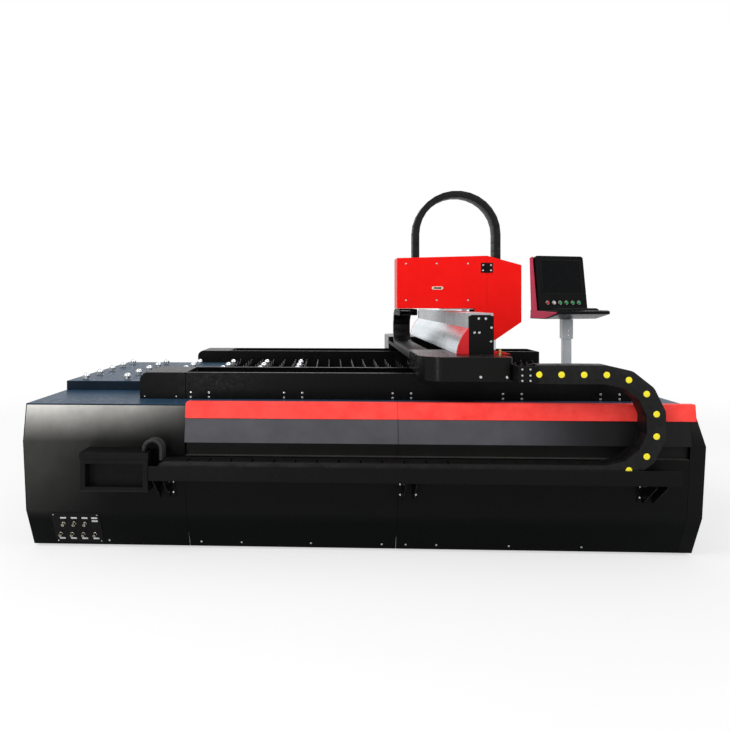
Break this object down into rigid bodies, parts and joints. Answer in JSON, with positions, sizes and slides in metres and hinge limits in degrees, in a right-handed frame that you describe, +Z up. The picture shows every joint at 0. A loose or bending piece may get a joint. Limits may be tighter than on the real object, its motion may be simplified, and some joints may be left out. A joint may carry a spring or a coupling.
{
  "type": "fiber laser cutting machine",
  "caption": "Open-bed gantry laser cutter: slat table and ball transfer plate, travelling beam with red head housing, energy chains and a swivelling operator console.",
  "frame": {"origin": "on the floor under the middle of the machine's whole box", "axes": "+X along the bed away from the loading end, +Y from the operator's side to the back, +Z up"},
  "size_m": [4.1564, 2.6979, 2.2404],
  "materials": {
    "bed_frame": "matt black primer",
    "levelling_feet": "plated steel",
    "front_panels": "gloss black powder coat",
    "rear_panels": "gloss black powder coat",
    "end_panels": "gloss black powder coat",
    "deck_plate": "satin black paint",
    "front_stripes": "fine textured red powder coat",
    "front_fascia": "gloss dark grey powder coat",
    "rail_troughs": "gloss black powder coat",
    "trough_end_caps": "gloss black powder coat",
    "x_rails": "ground steel",
    "x_racks": "milled steel",
    "slat_frame": "satin black paint",
    "cutting_slats": "mild steel, cut edges",
    "ball_plate": "satin black paint",
    "ball_transfer_units": "polished steel balls in pressed cups",
    "chain_tray": "gloss black powder coat",
    "x_chain_lower": "moulded black nylon",
    "cable_box": "satin black paint",
    "chain_hoses": "black rubber",
    "connector_panel": "black paint",
    "gas_fittings": "nickel-plated brass",
    "console_post": "light grey paint",
    "console_sleeve": "light grey paint",
    "front_carriage": "gloss black powder coat",
    "rear_carriage": "gloss black powder coat",
    "x_guide_blocks": "ground steel",
    "x_drive_motors": "black paint",
    "beam": "milled aluminium",
    "beam_end_plates": "black paint",
    "beam_cover": "bright rolled sheet",
    "beam_end_caps": "red powder coat",
    "y_rails": "ground steel",
    "y_rack": "milled steel",
    "y_chain_tray": "satin black paint",
    "y_chain_lower": "moulded black nylon",
    "x_chain_bracket": "satin black paint",
    "x_chain_upper": "moulded black nylon",
    "x_chain_bend": "moulded black nylon",
    "y_chain_bend": "moulded black nylon",
    "saddle": "milled aluminium",
    "head_housing": "bright red powder coat",
    "head_front_cover": "bright red powder coat",
    "hinge_plates": "black hinge leaves",
    "arch_chain": "moulded black nylon",
    "y_chain_upper": "moulded black nylon",
    "head_door": "bright red powder coat",
    "z_slide": "milled aluminium",
    "cutting_head": "anodised aluminium",
    "nozzle": "turned copper alloy",
    "keyboard_tray": "gloss black paint",
    "monitor_shell": "gloss black paint",
    "monitor_screen": "dark glass",
    "console_trim": "red paint",
    "stop_button": "gloss red plastic",
    "mode_button": "gloss white plastic",
    "green_button_1": "gloss green plastic",
    "green_button_2": "gloss green plastic",
    "green_button_3": "gloss green plastic",
    "green_button_4": "gloss green plastic"
  },
  "bodies": {
    "bed": {"bed_frame": "bed_frame", "levelling_feet": "levelling_feet", "front_panels": "front_panels", "rear_panels": "rear_panels", "end_panels": "end_panels", "deck_plate": "deck_plate", "front_stripes": "front_stripes", "front_fascia": "front_fascia", "rail_troughs": "rail_troughs", "trough_end_caps": "trough_end_caps", "x_rails": "x_rails", "x_racks": "x_racks", "slat_frame": "slat_frame", "cutting_slats": "cutting_slats", "ball_plate": "ball_plate", "ball_transfer_units": "ball_transfer_units", "chain_tray": "chain_tray", "x_chain_lower": "x_chain_lower", "cable_box": "cable_box", "chain_hoses": "chain_hoses", "connector_panel": "connector_panel", "gas_fittings": "gas_fittings", "console_post": "console_post", "console_sleeve": "console_sleeve"},
    "gantry": {"front_carriage": "front_carriage", "rear_carriage": "rear_carriage", "x_guide_blocks": "x_guide_blocks", "x_drive_motors": "x_drive_motors", "beam": "beam", "beam_end_plates": "beam_end_plates", "beam_cover": "beam_cover", "beam_end_caps": "beam_end_caps", "y_rails": "y_rails", "y_rack": "y_rack", "y_chain_tray": "y_chain_tray", "y_chain_lower": "y_chain_lower", "x_chain_bracket": "x_chain_bracket", "x_chain_upper": "x_chain_upper"},
    "x_chain_turn": {"x_chain_bend": "x_chain_bend"},
    "y_chain_turn": {"y_chain_bend": "y_chain_bend"},
    "head": {"saddle": "saddle", "head_housing": "head_housing", "head_front_cover": "head_front_cover", "hinge_plates": "hinge_plates", "arch_chain": "arch_chain", "y_chain_upper": "y_chain_upper"},
    "door": {"head_door": "head_door"},
    "z_slide": {"z_slide": "z_slide", "cutting_head": "cutting_head", "nozzle": "nozzle"},
    "console": {"keyboard_tray": "keyboard_tray", "monitor_shell": "monitor_shell", "monitor_screen": "monitor_screen", "console_trim": "console_trim"},
    "stop_button": {"stop_button": "stop_button"},
    "mode_button": {"mode_button": "mode_button"},
    "green_button_1": {"green_button_1": "green_button_1"},
    "green_button_2": {"green_button_2": "green_button_2"},
    "green_button_3": {"green_button_3": "green_button_3"},
    "green_button_4": {"green_button_4": "green_button_4"}
  },
  "joints": [
    {"name": "gantry_travel", "type": "slide", "parent": "bed", "child": "gantry", "axis": [1, 0, 0], "range_m": [-1.3, 0.12], "deforming": ["x_chain_lower"]},
    {"name": "x_chain_roll", "type": "slide", "parent": "gantry", "child": "x_chain_turn", "axis": [1, 0, 0], "range_m": [-0.07, 0.66], "deforming": ["x_chain_upper"]},
    {"name": "head_travel", "type": "slide", "parent": "gantry", "child": "head", "axis": [0, 1, 0], "range_m": [-0.5, 0.44], "deforming": ["y_chain_lower"]},
    {"name": "y_chain_roll", "type": "slide", "parent": "head", "child": "y_chain_turn", "axis": [0, 1, 0], "range_m": [-0.23, 0.26], "deforming": ["y_chain_upper"]},
    {"name": "nozzle_height", "type": "slide", "parent": "head", "child": "z_slide", "axis": [0, 0, 1], "range_m": [-0.03, 0.075], "deforming": ["arch_chain"]},
    {"name": "head_door_hinge", "type": "hinge", "parent": "head", "child": "door", "pos_m": [0.79, -0.0413, 1.672], "axis": [0, 0, -1], "range_deg": [0, 100]},
    {"name": "console_swivel", "type": "hinge", "parent": "bed", "child": "console", "pos_m": [1.79, 1.19, 1.27], "axis": [0, 0, 1], "range_deg": [-60, 60]},
    {"name": "stop_button_push", "type": "slide", "parent": "console", "child": "stop_button", "axis": [-0.2895, 0.947, -0.1392], "range_m": [0, 0.004], "stiffness_N_per_m": 400, "springref_m": -0.002},
    {"name": "mode_button_push", "type": "slide", "parent": "console", "child": "mode_button", "axis": [-0.2895, 0.947, -0.1392], "range_m": [0, 0.004], "stiffness_N_per_m": 400, "springref_m": -0.002},
    {"name": "green_button_1_push", "type": "slide", "parent": "console", "child": "green_button_1", "axis": [-0.2895, 0.947, -0.1392], "range_m": [0, 0.004], "stiffness_N_per_m": 400, "springref_m": -0.002},
    {"name": "green_button_2_push", "type": "slide", "parent": "console", "child": "green_button_2", "axis": [-0.2895, 0.947, -0.1392], "range_m": [0, 0.004], "stiffness_N_per_m": 400, "springref_m": -0.002},
    {"name": "green_button_3_push", "type": "slide", "parent": "console", "child": "green_button_3", "axis": [-0.2895, 0.947, -0.1392], "range_m": [0, 0.004], "stiffness_N_per_m": 400, "springref_m": -0.002},
    {"name": "green_button_4_push", "type": "slide", "parent": "console", "child": "green_button_4", "axis": [-0.2895, 0.947, -0.1392], "range_m": [0, 0.004], "stiffness_N_per_m": 400, "springref_m": -0.002}
  ],
  "couplings": [
    {"joint": "x_chain_roll", "follows": "gantry_travel", "ratio": -0.5},
    {"joint": "y_chain_roll", "follows": "head_travel", "ratio": -0.5}
  ]
}
